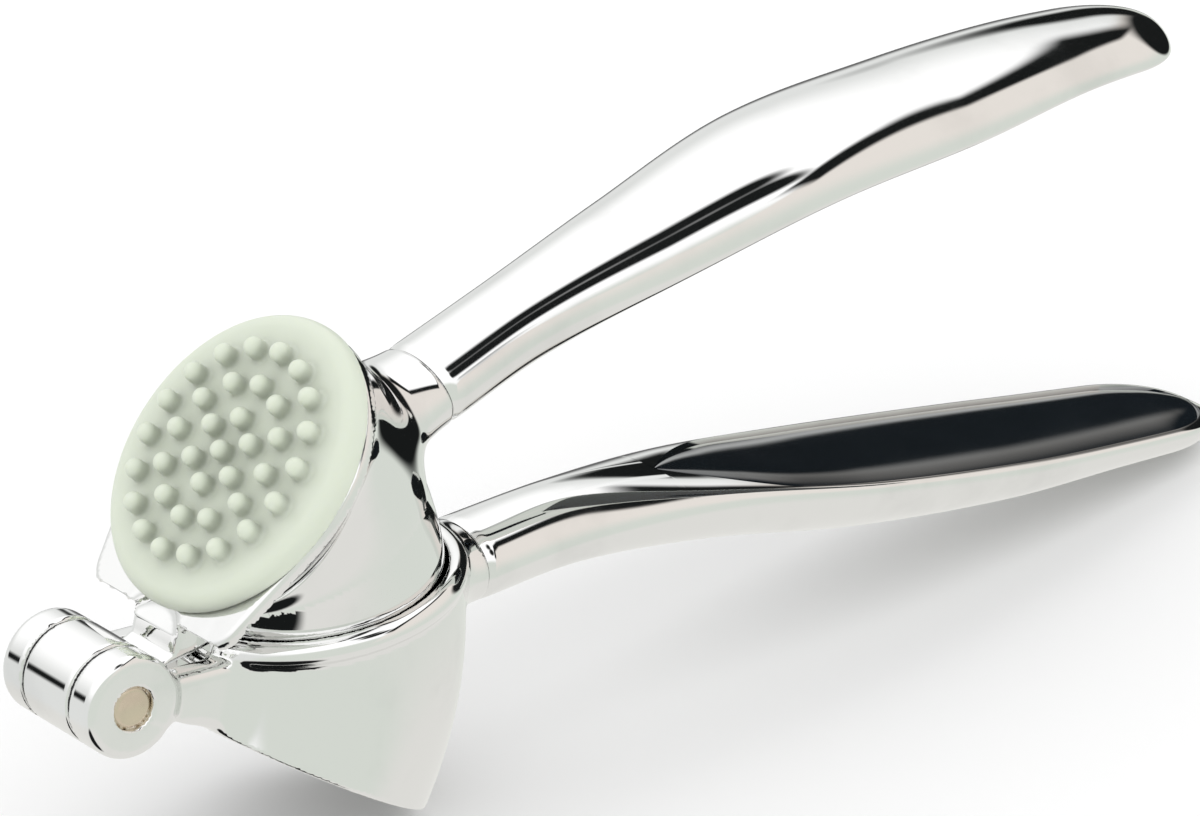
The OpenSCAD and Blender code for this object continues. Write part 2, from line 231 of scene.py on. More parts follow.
def rounds_hull(x, y, rounds):
    """Signed distance to the outline round a circle on the axis and a mirrored pair of circles.

    rounds holds the lone circle and one of the pair, each as (x, y, radius).
    """
    (x0, y0, r0), (x1, y1, r1) = rounds
    side = np.abs(y)
    far = math.hypot(x0 - x1, y0 - y1)
    ux, uy = (x0 - x1) / far, (y0 - y1) / far
    lean = (r0 - r1) / far
    upright = math.sqrt(1 - lean * lean)
    nx, ny = -uy, ux
    if ny < 0:
        nx, ny = -nx, -ny
    tx, ty = nx * upright - ux * lean, ny * upright - uy * lean
    edge = (x - x1) * tx + (side - y1) * ty - r1
    past_lone = (x - x0) * ty - (side - y0) * tx > 0
    before_pair = (x - x1) * ty - (side - y1) * tx < 0
    low_edge = x1 - r1 - x
    skirt = np.where(past_lone, np.hypot(x - x0, side - y0) - r0,
                     np.where(before_pair & (side > y1), np.hypot(x - x1, side - y1) - r1, edge))
    skirt = np.where((x < x1) & (side <= y1), low_edge, skirt)
    inner = (x >= x1) & (side <= y1) & ~past_lone
    return np.where(inner, np.maximum(edge, low_edge), skirt)


def slab(p, half):
    return np.abs(p[:, 1]) - half


def axle(p, r, half, k):
    return meet(out(p) - r, slab(p, half), k)


# ---------------------------------------------------------------- from a solid to a mesh
def press_object(name, vertices, faces, normals=None):
    """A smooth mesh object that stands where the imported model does, from the press's own frame."""
    mesh = bpy.data.meshes.new(name)
    mesh.from_pydata(stand(vertices), [], faces)
    mesh.polygons.foreach_set("use_smooth", np.ones(len(mesh.polygons), bool))
    mesh.update()
    if normals is not None:
        mesh.normals_split_custom_set_from_vertices((normals @ rest_turn().T).tolist())
    obj = bpy.data.objects.new(name, mesh)
    bpy.context.scene.collection.objects.link(obj)
    return obj


def slope(solid, points, step=0.02 * MM):
    shifts = np.eye(3) * step
    return np.stack([solid(points + s) - solid(points - s) for s in shifts], -1) / (2 * step)


def skin_of(name, solid, low, high, cell):
    """Meshes the surface of a solid: one point for each crossed cell of a grid, moved onto the surface."""
    coarse, margin, passes, least_slope = 4, 1.3, 6, 0.05
    counts = [int(math.ceil((high[k] - low[k]) / cell / coarse)) + 2 for k in range(3)]
    start = np.array(low) - coarse * cell / 2
    middles = np.stack(np.meshgrid(*[(np.arange(n) + 0.5) * coarse * cell + start[k]
                                     for k, n in enumerate(counts)], indexing="ij"), -1)
    rough = solid(middles.reshape(-1, 3)).reshape(counts)
    fine = np.repeat(np.repeat(np.repeat(rough, coarse, 0), coarse, 1), coarse, 2)
    near = np.argwhere(np.abs(fine) < coarse * cell * margin)
    value = fine
    value[tuple(near.T)] = solid((near + 0.5) * cell + start)
    cells = tuple(n - 1 for n in value.shape)

    def at(offset):
        return value[tuple(slice(o, o + n) for o, n in zip(offset, cells))]

    crossings = np.zeros(cells)
    place = np.zeros(cells + (3,))
    for axis in range(3):
        for u in (0, 1):
            for v in (0, 1):
                a = [0, 0, 0]
                a[(axis + 1) % 3], a[(axis + 2) % 3] = u, v
                b = list(a)
                b[axis] = 1
                fa, fb = at(a), at(b)
                crossed = (fa < 0) != (fb < 0)
                share = np.where(crossed, fa / np.where(crossed, fa - fb, 1), 0)
                crossings += crossed
                for k in range(3):
                    place[..., k] += crossed * a[k] + (share if k == axis else 0)
    used = np.argwhere(crossings > 0)
    number = np.full(cells, -1)
    number[tuple(used.T)] = np.arange(len(used))
    points = (used + 0.5 + place[tuple(used.T)] / crossings[tuple(used.T)][:, None]) * cell + start

    quads = []
    for axis in range(3):
        b, c = (axis + 1) % 3, (axis + 2) % 3
        span = [slice(1, n - 1) for n in value.shape]
        span[axis] = slice(0, value.shape[axis] - 1)
        lower = value[tuple(span)]
        span[axis] = slice(1, value.shape[axis])
        upper = value[tuple(span)]
        where = np.argwhere((lower < 0) != (upper < 0))
        rising = lower[tuple(where.T)] < 0
        where += 1
        where[:, axis] -= 1
        ring = []
        for db, dc in ((1, 1), (0, 1), (0, 0), (1, 0)):
            cell_at = where.copy()
            cell_at[:, b] -= db
            cell_at[:, c] -= dc
            ring.append(number[tuple(cell_at.T)])
        ring = np.stack(ring, -1)
        quads.append(np.where(rising[:, None], ring, ring[:, ::-1]))
    quads = np.concatenate(quads)
    quads = quads[(quads >= 0).all(1)]

    begin = points.copy()
    for _ in range(passes):
        g = slope(solid, points)
        move = solid(points)[:, None] * g / np.maximum((g * g).sum(1), least_slope)[:, None]
        points = points - np.clip(move, -cell / 2, cell / 2)
    drift = points - begin
    far = np.linalg.norm(drift, axis=1) > cell
    points[far] = begin[far]
    g = slope(solid, points)
    normals = g / np.maximum(np.linalg.norm(g, axis=1), 1e-9)[:, None]
    return press_object(name, points, quads.tolist(), normals)


# ---------------------------------------------------------------- the lower casting
# Fillets between the parts of a casting, and the usual rounding of an edge.
COLLAR_FILLET = 2.2 * MM
EAR_FILLET = 2.6 * MM
KNUCKLE_FILLET = 1.2 * MM
WEB_FILLET = 1.6 * MM
EDGE = 0.5 * MM


def root_rise(column):
    """Height of a handle's root over its line."""
    return STATIONS[0, column] * MM


def collar(p, rise):
    """The casting's end of a handle joint: an oval boss that widens into the casting."""
    s = sizes()
    flare, flare_length, flare_power = 0.3, 9 * MM, 1.6
    longest, starts_at, end_round = 20 * MM, 38 * MM, 0.7 * MM
    back = np.clip(s.root - p[:, 0], 0, longest)
    grow = 1 + flare * (back / flare_length) ** flare_power
    wide, deep = s.neck_w * grow, STATIONS[0, DEEP_OUT] * MM * grow
    ring = np.hypot(p[:, 1] / wide, (p[:, 2] - rise) / deep)
    body = (ring - 1) * np.minimum(wide, deep)
    return meet(meet(body, p[:, 0] - s.root, end_round), starts_at - p[:, 0])


def ear_solid(p):
    """The two arms from the hopper to the outer knuckles, with a hollow under each."""
    s = sizes()
    hollow_r, lift_a = 10 * MM, math.radians(1.5)
    top, ends_at, inset = 2.1 * MM, 23 * MM, 0.8 * MM
    top_round, side_round = 0.8 * MM, 1.6 * MM
    low_a = lift_a - s.rim_a
    middle_d = s.knuckle_r + hollow_r
    middle_a = low_a - math.asin(hollow_r / middle_d)
    hollow = np.hypot(p[:, 0] - middle_d * math.cos(middle_a),
                      p[:, 2] - middle_d * math.sin(middle_a)) - hollow_r
    past = along(p, low_a) - middle_d * math.cos(low_a - middle_a)
    under = np.where(past > 0, -above(p, low_a), -hollow)
    side = meet(meet(p[:, 2] - top, under, top_round), p[:, 0] - ends_at)
    side = meet(meet(side, -p[:, 0]), -above(p, middle_a))
    inner, outer = s.middle_w / 2 + s.washer_gap, s.hinge_w / 2 - inset
    return meet(meet(side, slab(p, outer), side_round), -slab(p, inner), EDGE)


def ledge_solid(p):
    """The ring inside the hopper's outlet that the sieve lies on."""
    s = sizes()
    width, buried, edge = 0.5 * MM, 0.7 * MM, 0.2 * MM
    middle, half_t = 0.6 * MM, 0.4 * MM
    from_middle = np.hypot(along(p, -s.rim_a) - s.hopper_d, p[:, 1])
    ring = meet(-(from_middle - s.chamber_r + width), from_middle - s.chamber_r - buried)
    return meet(ring, np.abs(above(p, -s.rim_a, middle)) - half_t, edge)


def slot_solid(p, half):
    """Room between the ears for the upper arm's web."""
    slack, ends_at, low_a = 0.1 * MM, 18 * MM, math.radians(-1)
    slot = meet(meet(slab(p, half), sizes().knuckle_r - out(p) + slack), p[:, 0] - ends_at)
    return meet(slot, -above(p, low_a))


def hopper_solid(p):
    s = sizes()
    bead_r, head_depth = 1.6 * MM, 1 * MM
    knuckle_round, knuckle_edge = 1.3 * MM, 0.3 * MM
    chamber_edge, slot_edge, head_edge = 0.35 * MM, 0.6 * MM, 0.25 * MM
    past_rim_a = 0.05
    bead_a = s.ring_a - math.asin(bead_r / s.hopper_d)
    body = meet(bent_tube(p, s.skin_r, s.hopper_d), above(p, bead_a))
    body = join(body, collar(p, root_rise(LOWER)), COLLAR_FILLET)
    body = join(body, ear_solid(p), EAR_FILLET)
    body = meet(body, -above(p, -s.rim_a), EDGE)
    inner, outer = s.middle_w / 2 + s.washer_gap, s.hinge_w / 2
    knuckle = meet(axle(p, s.knuckle_r, outer, knuckle_round), -slab(p, inner), knuckle_edge)
    body = join(body, knuckle, KNUCKLE_FILLET)
    bead = np.hypot(np.hypot(along(p, bead_a) - s.hopper_d, p[:, 1]) - s.skin_r + bead_r / 2,
                    above(p, bead_a)) - bead_r
    body = join(body, bead, EDGE)
    chamber = meet(bent_tube(p, s.chamber_r, s.hopper_d), -above(p, -s.rim_a - past_rim_a))
    body = cut(body, chamber, chamber_edge)
    body = join(body, ledge_solid(p))
    body = cut(body, slot_solid(p, inner), slot_edge)
    body = cut(body, out(p) - s.pin_r)
    return cut(body, meet(out(p) - s.pin_head_r, -slab(p, outer - head_depth)), head_edge)


# ---------------------------------------------------------------- the upper casting
# The web between the head and the middle knuckle: its front end and front angle, then the corners of its
# back as (distance from the hinge, degrees under the pad's face). Distances in mm.
WEB_FRONT, WEB_LOW = 2, 12
WEB_BACK = ((17.5, 14), (10.8, 22), (9.6, 31), (5.7, 36))


def web_outline(x, z):
    under_pad = math.degrees(sizes().pad_a)
    corners = [ray(WEB_FRONT * MM, WEB_LOW), ray(WEB_BACK[0][0] * MM, WEB_LOW)]
    corners += [ray(d * MM, under_pad - degrees) for d, degrees in WEB_BACK]
    return outline(x, z, corners)


def flare_share(rise):
    """Share of the change from the plunger's round section to the head's, at a share of the height."""
    lean = 0.8
    m = (lean - np.sqrt(np.maximum(lean * lean - (2 * lean - 1) * rise, 0))) / (2 * lean - 1)
    return m * m


def plunger_solid(p):
    s = sizes()
    plate_t, least_height = 1.6 * MM, 1 * MM
    seat_inset, foot_lift, past_lip_a = 0.3 * MM, 2.6 * MM, math.radians(0.8)
    toe = (15.3 * MM, 10.2 * MM, 4.8 * MM)
    notch_d, notch_r, notch_depth = 8.2 * MM, 5.6 * MM, 8 * MM
    head_round, notch_round, foot_round = 0.9 * MM, 1.0 * MM, 0.6 * MM
    knuckle_zone = 12 * MM
    over_flare = above(p, s.ring_a + s.close_a + past_lip_a)
    under_plate = -above(p, s.pad_a, -s.pad_t - plate_t)
    rise = np.clip(over_flare / np.maximum(over_flare + under_plate, least_height), 0, 1)
    share = flare_share(rise)
    y = p[:, 1]
    u = (1 - rise) * out(p) + rise * along(p, s.pad_a)
    seat = [(s.pad_d, 0, s.pad_r - seat_inset), toe]
    section = (1 - share) * (np.hypot(u - s.hopper_d, y) - s.plunger_r) + share * rounds_hull(u, y, seat)
    head = meet(section, above(p, s.pad_a, -s.pad_t), head_round)
    notch = np.hypot(along(p, s.pad_a) - notch_d, y) - notch_r
    head = cut(head, meet(notch, -above(p, s.pad_a, -notch_depth)), notch_round)
    body = meet(head, -above(p, s.close_a - s.rim_a, foot_lift), foot_round)
    middle = slab(p, s.middle_w / 2)
    body = join(body, meet(web_outline(p[:, 0], p[:, 2]), middle, head_round), WEB_FILLET)
    body = join(body, axle(p, s.knuckle_r, s.middle_w / 2, EDGE), WEB_FILLET)
    body = meet(body, np.where(out(p) < knuckle_zone, middle, -1.0))
    body = join(body, collar(flip(turn(p, -s.open_a)), -root_rise(UPPER)), COLLAR_FILLET)
    return cut(body, out(p) - s.pin_r)


# ---------------------------------------------------------------- the cleaner pad
def nub_places():
    s = sizes()
    yield s.nub_d, 0.0
    for ring in (1, 2, 3):
        for k in range(6 * ring):
            a = math.tau * k / (6 * ring)
            yield s.nub_d + ring * s.nub_pitch * math.cos(a), ring * s.nub_pitch * math.sin(a)


def pad_solid(p):
    s = sizes()
    face_round, back_round, nub_root, nub_fillet = 2.4 * MM, 0.4 * MM, 1 * MM, 0.6 * MM
    u, y, h = along(p, s.pad_a), p[:, 1], above(p, s.pad_a)
    disc = meet(np.hypot(u - s.pad_d, y) - s.pad_r, h, face_round)
    disc = meet(disc, -h - s.pad_t, back_round)
    nubs = np.full(u.shape, np.inf)
    for nu, ny in nub_places():
        r = np.hypot(u - nu, y - ny)
        top = np.hypot(r, np.maximum(h - s.nub_h + s.nub_r, 0)) - s.nub_r
        nubs = np.minimum(nubs, np.maximum(top, -h - nub_root))
    return join(disc, nubs, nub_fillet)


# ---------------------------------------------------------------- handles
# Cross section at places from a handle's root (0) to its tip (1): place, share of the swell from neck to
# grip, depth outwards, depth inwards, squareness inwards, lower rise, upper rise. The last two are heights
# over the handle's line, in mm like the depths.
STATIONS = np.array([
    [0.00, 0.00, 5.1, 5.1, 2.0, 3.6, 11.7],
    [0.13, 0.00, 5.2, 5.0, 2.0, 5.3, 12.7],
    [0.29, 0.45, 7.0, 2.5, 3.0, 6.0, 11.8],
    [0.48, 0.93, 8.0, 1.4, 4.5, 3.7, 11.0],
    [0.68, 1.00, 6.9, 1.5, 5.0, 1.0, 7.2],
    [0.84, 0.75, 5.2, 1.3, 5.0, -0.5, 3.9],
    [1.00, 0.40, 4.2, 1.2, 5.0, -1.8, -1.6]])
SWELL, DEEP_OUT, DEEP_IN, SQUARE, LOWER, UPPER = range(1, 7)
TIP = 11 * MM                      # length over which the tip rounds off
WIDTH_POWER, DEPTH_POWER = 2.2, 3.5   # how squarely its width and its depth do
INLAY_FROM, INLAY_LEAD = 0.245, 0.15  # where the inlay starts, and how far it takes to widen
INLAY_RIM = 1 * MM                 # metal left round it
LEAD_POWER = 0.8                   # below 1 widens it sooner
SMALLEST = 0.25 * MM               # half width below which it isn't drawn
DRAFT = 0.2 * MM                   # slope of the recess walls


def station(column, t):
    """Smooth value of a column of the stations at place t."""
    x, v = STATIONS[:, 0], STATIONS[:, column]
    low, high = np.maximum(np.arange(len(x)) - 1, 0), np.minimum(np.arange(len(x)) + 1, len(x) - 1)
    rate = (v[high] - v[low]) / (x[high] - x[low])
    i = int(np.clip(np.searchsorted(x, t) - 1, 0, len(x) - 2))
    w = x[i + 1] - x[i]
    k = (t - x[i]) / w
    return ((2 * k**3 - 3 * k**2 + 1) * v[i] + (3 * k**2 - 2 * k**3) * v[i + 1]
            + (k**3 - 2 * k**2 + k) * w * rate[i] + (k**3 - k**2) * w * rate[i + 1])


class HandleShape:
    """Cross sections of one handle. column is LOWER or UPPER."""

    def __init__(self, column):
        s = sizes()
        self.column = column
        self.upper = column == UPPER
        self.span = s.reach - s.root
        self.length = self.span - (s.upper_trim if self.upper else 0)
        self.tip_from = 1 - TIP / self.span

    def x(self, t):
        return sizes().root + self.length * t

    def z(self, t):
        return (-1 if self.upper else 1) * station(self.column, t) * MM

    def round_off(self, t, n, extra=0.0):
        k = min(max((t * self.span + extra - self.span + TIP) / TIP, 0), 1)
        return (1 - k**n) ** (1 / n)

    def full_half(self, t):
        s = sizes()
        return s.neck_w + (s.grip_w - s.neck_w) * station(SWELL, t)

    def half(self, t):
        return self.full_half(t) * self.round_off(t, WIDTH_POWER)

    def inlay_half(self, t):
        lead = min(max((t - INLAY_FROM) / INLAY_LEAD, 0), 1)
        widen = math.sin(math.pi / 2 * lead) ** LEAD_POWER if lead > 0 else 0
        return self.full_half(t) * self.round_off(t, WIDTH_POWER, INLAY_RIM) * widen - INLAY_RIM

    def inside(self, t, y):
        n = station(SQUARE, t)
        share = np.minimum(np.abs(y) / self.half(t), 1)
        return station(DEEP_IN, t) * MM * self.round_off(t, DEPTH_POWER) * (1 - share**n) ** (1 / n)

    def ring(self, t, y, z):
        """The cross section at place t, in the press's frame."""
        points = np.stack([np.full(len(y), self.x(t)), np.array(y), self.z(t) + np.array(z)], -1)
        return turn(flip(points), sizes().open_a) if self.upper else points


def loft(name, rings, sharp_deg=50):
    """Closed skin over rings of equal point counts, with a fan over each end."""
    rings = np.array(rings)
    n, count = rings.shape[0], rings.shape[1]
    points = np.concatenate([rings.reshape(-1, 3), [rings[0].mean(0)], [rings[-1].mean(0)]])
    first, last = n * count, n * count + 1
    faces = []
    for i in range(n - 1):
        for j in range(count):
            a, b = i * count + j, i * count + (j + 1) % count
            faces.append((a, b, b + count, a + count))
    for j in range(count):
        k = (j + 1) % count
        faces.append((first, k, j))
        faces.append((last, (n - 1) * count + j, (n - 1) * count + k))
    obj = press_object(name, points, faces)
    obj.data.set_sharp_from_angle(angle=math.radians(sharp_deg))
    return obj


def spread(a, b, n, ease=False):
    """n places from a to b, without b, closer together near a if eased."""
    k = np.arange(n) / n
    return a + (b - a) * (k * k if ease else k)


def handle_places(shape):
    """Places that get a ring, closest together where the inlay starts and at the tip."""
    root_n, lead_n, grip_n, tip_n, last_bend = 44, 60, 100, 34, 88
    lead_end = INLAY_FROM + INLAY_LEAD
    bend = np.radians(np.linspace(0, last_bend, tip_n))
    return np.concatenate([
        spread(0, INLAY_FROM, root_n), spread(INLAY_FROM, lead_end, lead_n, True),
        spread(lead_end, shape.tip_from, grip_n),
        shape.tip_from + (1 - shape.tip_from) * np.sin(bend)])


def handle_rings(shape):
    s = sizes()
    outer_n, rim_n, floor_n = 48, 14, 9
    plain_share = 0.3                # half width of the flat strip where there is no inlay
    pinch, pinch_rings = 0.06, 1.5   # how far the first rings draw in at the joint
    around = np.radians(180 + np.arange(outer_n) * 180 / outer_n)
    down = 1 - np.cos(np.radians(np.arange(1, rim_n + 1) * 90 / rim_n))
    rings = []
    for place_no, t in enumerate(handle_places(shape)):
        a, deep = shape.half(t), station(DEEP_OUT, t) * MM * shape.round_off(t, DEPTH_POWER)
        inlay = shape.inlay_half(t)
        has_inlay = t > INLAY_FROM and inlay > SMALLEST
        y1 = inlay if has_inlay else plain_share * a
        sink = s.recess if has_inlay else 0.0
        slope_in = min(DRAFT, y1 / 3) if has_inlay else 0.0
        shrink = 1 - pinch * max(0, 1 - place_no / pinch_rings) ** 2
        rim = a + (y1 - a) * down
        rim_z = [float(shape.inside(t, v)) for v in rim]
        floor = (y1 - slope_in) * np.linspace(1, -1, floor_n)
        y = [a * math.cos(f) for f in around] + [a, *rim, *floor, *-rim[::-1]]
        z = [deep * math.sin(f) for f in around] + [0.0, *rim_z]
        z += [float(shape.inside(t, v)) - sink for v in floor] + rim_z[::-1]
        rings.append(shape.ring(t, np.array(y) * shrink, np.array(z) * shrink))
    return rings


def inlay_rings(shape):
    s = sizes()
    gap, base_n, crown_n = 0.1 * MM, 5, 32
    full_drop, full_width, drop_power = 0.75 * MM, 8 * MM, 3
    rings = []
    for t in handle_places(shape):
        y1 = shape.inlay_half(t) - gap
        if t <= INLAY_FROM or y1 < SMALLEST:
            continue
        base = y1 - min(DRAFT, y1 / 3)
        bottom = np.linspace(-base, base, base_n)
        crown = y1 * np.cos(np.radians(np.arange(crown_n + 1) * 180 / crown_n))
        crown_drop = full_drop * min(1, y1 / full_width)
        z = [float(shape.inside(t, v)) - s.recess + gap for v in bottom]
        z += [float(shape.inside(t, v)) - crown_drop * abs(v / y1) ** drop_power for v in crown]
        rings.append(shape.ring(t, [*bottom, *crown], z))
    return rings


# ---------------------------------------------------------------- the pin
def lathe(name, profile):
    """Turns a profile of (radius, place along Y) round the hinge's axis."""
    count, sharp_deg = 72, 60
    f = np.arange(count) * math.tau / count
    rings = [np.stack([r * np.cos(f), np.full(count, y), -r * np.sin(f)], -1) for r, y in profile]
    return loft(name, rings, sharp_deg)


def pin_profile():
    """The whole pin: a shank between two formed ends, each with a rounded edge and a shallow dimple."""
    s = sizes()
    inset, play, head_t, round_r, dimple = 0.4 * MM, 0.04 * MM, 0.75 * MM, 0.7 * MM, 0.3 * MM
    end = s.hinge_w / 2 - inset
    head, shank = s.pin_head_r - play, s.pin_r - play
    side = [(shank, end - head_t), (head, end - round_r)]
    for f in np.radians(np.linspace(0, 90, 9)):
        side.append((head - round_r * (1 - math.cos(f)), end - round_r * (1 - math.sin(f))))
    for k in (0.85, 0.7, 0.5, 0.3, 0.1):
        side.append(((head - round_r) * k, end - dimple * (1 - k * k)))
    return [(r, -y) for r, y in side[::-1]] + side


# ---------------------------------------------------------------- shader building
def new_material(name):
    made = bpy.data.materials.new(name)
    made.use_nodes = True
    tree = made.node_tree
    shader = tree.nodes["Principled BSDF"]
    return made, tree, shader


def node(tree, kind, **values):
    made = tree.nodes.new(kind)
    for key, value in values.items():
        if hasattr(made, key):
            setattr(made, key, value)
        else:
            made.inputs[key.replace("_", " ")].default_value = value
    return made


def math_node(tree, how, *values):
    """One sum. Each value is a number or a socket."""
    made = tree.nodes.new("ShaderNodeMath")
    made.operation = how
    for socket, value in zip(made.inputs, values):
        if isinstance(value, (int, float)):
            socket.default_value = value
        else:
            tree.links.new(value, socket)
    return made.outputs[0]


def ramp(tree, value, low, high, kind="LINEAR"):
    """0 at low, 1 at high."""
    made = node(tree, "ShaderNodeMapRange", interpolation_type=kind)
    made.inputs["From Min"].default_value = low
    made.inputs["From Max"].default_value = high
    tree.links.new(value, made.inputs["Value"])
    return made.outputs["Result"]


def blended(tree, factor, low, high):
    """Mix of two colours, each a colour or a socket."""
    mix = tree.nodes.new("ShaderNodeMix")
    mix.data_type = "RGBA"
    tree.links.new(factor, mix.inputs["Factor"])
    for name, value in (("A", low), ("B", high)):
        if isinstance(value, bpy.types.NodeSocket):
            tree.links.new(value, mix.inputs[name])
        else:
            mix.inputs[name].default_value = (*value, 1)
    return mix.outputs["Result"]


def new_group(name, inputs, outputs):
    """A shader node group with named sockets: {name: default} in, names out."""
    group = bpy.data.node_groups.new(name, "ShaderNodeTree")
    for label, default in inputs.items():
        socket = group.interface.new_socket(name=label, in_out="INPUT", socket_type="NodeSocketFloat")
        socket.default_value = default
    for label in outputs:
        group.interface.new_socket(name=label, in_out="OUTPUT", socket_type="NodeSocketFloat")
    start, end = group.nodes.new("NodeGroupInput"), group.nodes.new("NodeGroupOutput")
    return group, start, end


def handling_group():
    """Marks of handling: soft smudges, fine scratches and a faint cast waviness."""
    group, start, end = new_group(
        "handling_marks", {"Base": 0.06, "Smudge": 0.05, "Scratch": 0.03, "Size": 60.0},
        ["Roughness", "Height", "Mask"])
    links = group.links
    where = group.nodes.new("ShaderNodeTexCoord").outputs["Object"]
    smudge = node(group, "ShaderNodeTexNoise", Detail=4.0, Roughness=0.6)
    links.new(where, smudge.inputs["Vector"])
    links.new(start.outputs["Size"], smudge.inputs["Scale"])
    soft = ramp(group, smudge.outputs["Fac"], 0.48, 0.72, "SMOOTHSTEP")
    stretch = node(group, "ShaderNodeMapping", Scale=(240.0, 2600.0, 2600.0), Rotation=(0.4, 0.3, 0.7))
    links.new(where, stretch.inputs["Vector"])
    fine = node(group, "ShaderNodeTexNoise", Scale=1.0, Detail=2.0)
    links.new(stretch.outputs["Vector"], fine.inputs["Vector"])
    hair = ramp(group, fine.outputs["Fac"], 0.63, 0.78)
    wave = node(group, "ShaderNodeTexNoise", Scale=90.0, Detail=1.0)
    links.new(where, wave.inputs["Vector"])
    smudged = math_node(group, "MULTIPLY_ADD", soft, start.outputs["Smudge"], start.outputs["Base"])
    rough = math_node(group, "MULTIPLY_ADD", hair, start.outputs["Scratch"], smudged)
    links.new(rough, end.inputs["Roughness"])
    hair_depth = -0.15
    height = math_node(group, "MULTIPLY_ADD", hair, hair_depth, wave.outputs["Fac"])
    links.new(height, end.inputs["Height"])
    links.new(soft, end.inputs["Mask"])
    return group


def moulded_group():
    """Moulded plastic: a fine even grain and slow cloudy variation."""
    group, start, end = new_group("moulded_surface", {"Base": 0.35, "Vary": 0.1, "Grain": 1400.0},
                                  ["Roughness", "Height", "Cloud"])
    links = group.links
    where = group.nodes.new("ShaderNodeTexCoord").outputs["Object"]
    grain = node(group, "ShaderNodeTexNoise", Detail=2.0)
    links.new(where, grain.inputs["Vector"])
    links.new(start.outputs["Grain"], grain.inputs["Scale"])
    cloud = node(group, "ShaderNodeTexNoise", Scale=120.0, Detail=3.0)
    links.new(where, cloud.inputs["Vector"])
    rough = math_node(group, "MULTIPLY_ADD", cloud.outputs["Fac"], start.outputs["Vary"],
                      start.outputs["Base"])
    links.new(rough, end.inputs["Roughness"])
    links.new(grain.outputs["Fac"], end.inputs["Height"])
    links.new(cloud.outputs["Fac"], end.inputs["Cloud"])
    return group


GROUPS = {}


def placed(tree, name, **values):
    """A shared group, built once, placed in a material with its own values."""
    if name not in GROUPS:
        GROUPS[name] = {"handling_marks": handling_group, "moulded_surface": moulded_group}[name]()
    made = tree.nodes.new("ShaderNodeGroup")
    made.node_tree = GROUPS[name]
    for key, value in values.items():
        made.inputs[key].default_value = value
    return made


def bumped(tree, shader, height, strength, distance):
    bump = node(tree, "ShaderNodeBump", Strength=strength, Distance=distance)
    tree.links.new(height, bump.inputs["Height"])
    tree.links.new(bump.outputs["Normal"], shader.inputs["Normal"])


def tinted(tree, shader, mask, low, high):
    """Base colour that runs from low to high with the mask."""
    tree.links.new(blended(tree, mask, low, high), shader.inputs["Base Color"])


def shade(base, k):
    """The colour made k times as bright."""
    return tuple(min(1.0, v * k) for v in base)


def metal(name, base, marks, bump):
    """A metal with marks of handling. bump is how strongly they show as relief."""
    relief, dulled = 0.02 * MM, 0.93
    made, tree, shader = new_material(name)
    shader.inputs["Metallic"].default_value = 1.0
    group = placed(tree, "handling_marks", **marks)
    tree.links.new(group.outputs["Roughness"], shader.inputs["Roughness"])
    bumped(tree, shader, group.outputs["Height"], bump, relief)
    tinted(tree, shader, group.outputs["Mask"], base, shade(base, dulled))
    return made


def chrome_material():
    return metal("polished_chrome", colours().chrome,
                 {"Base": 0.035, "Smudge": 0.03, "Scratch": 0.02, "Size": 55.0}, bump=0.05)


def sieve_material():
    return metal("satin_sieve_steel", colours().sieve,
                 {"Base": 0.26, "Smudge": 0.1, "Scratch": 0.12, "Size": 120.0}, bump=0.25)


def stud_material():
    return metal("plain_stud_steel", colours().stud,
                 {"Base": 0.35, "Smudge": 0.1, "Scratch": 0.1, "Size": 150.0}, bump=0.3)


def pin_material():
    return metal("warm_pin_metal", colours().pin,
                 {"Base": 0.22, "Smudge": 0.06, "Scratch": 0.08, "Size": 200.0}, bump=0.04)


def plastic(name, values, bump, relief):
    """A moulded material that still lacks its colour, and the mask of its cloudy variation."""
    made, tree, shader = new_material(name)
    group = placed(tree, "moulded_surface", **values)
    tree.links.new(group.outputs["Roughness"], shader.inputs["Roughness"])
    bumped(tree, shader, group.outputs["Height"], bump, relief)
    return made, tree, shader, group.outputs["Cloud"]


def pad_material():
    """Translucent moulding with painted shade: the base colour darkens in the narrow places between its nubs and
    brightens on the open surface.
    """
    base = colours().pad
    narrow_place, narrow, painted_shade_k, painted_light_k = 3.5 * MM, (0.35, 0.95), 0.62, 1.12
    made, tree, shader, _ = plastic("translucent_pad", {"Base": 0.3, "Vary": 0.12, "Grain": 900.0},
                                    bump=0.12, relief=0.02 * MM)
    # Painted shade: ambient occlusion darkens the base colour between the nubs and brightens the open surface.
    painted_shade_ao = node(tree, "ShaderNodeAmbientOcclusion", samples=8, Distance=narrow_place).outputs["AO"]
    tinted(tree, shader, ramp(tree, painted_shade_ao, *narrow), shade(base, painted_shade_k), shade(base, painted_light_k))
    shader.inputs["Subsurface Weight"].default_value = 0.6
    shader.inputs["Subsurface Radius"].default_value = (1.0, 1.0, 0.8)
    shader.inputs["Subsurface Scale"].default_value = 0.9 * MM
    shader.inputs["IOR"].default_value = 1.48
    return made


def grip_material():
    base, cloudy = colours().grip, 0.7
    made, tree, shader, cloud = plastic("black_gloss_inlay", {"Base": 0.05, "Vary": 0.06, "Grain": 700.0},
                                        bump=0.03, relief=0.01 * MM)
    tinted(tree, shader, cloud, shade(base, cloudy), base)
    shader.inputs["Coat Weight"].default_value = 0.6
    shader.inputs["Coat Roughness"].default_value = 0.05
    return made


def washer_material():
    base, cloudy = colours().washer, 0.88
    made, tree, shader, cloud = plastic("dark_washer", {"Base": 0.45, "Vary": 0.1, "Grain": 1500.0},
                                        bump=0.2, relief=0.02 * MM)
    tinted(tree, shader, cloud, shade(base, cloudy), base)
    return made


def dress(obj, material):
    obj.data.materials.clear()
    obj.data.materials.append(material)
    return obj


def made_once(name, make):
    return bpy.data.materials.get(name) or make()


def chrome():
    return made_once("polished_chrome", chrome_material)


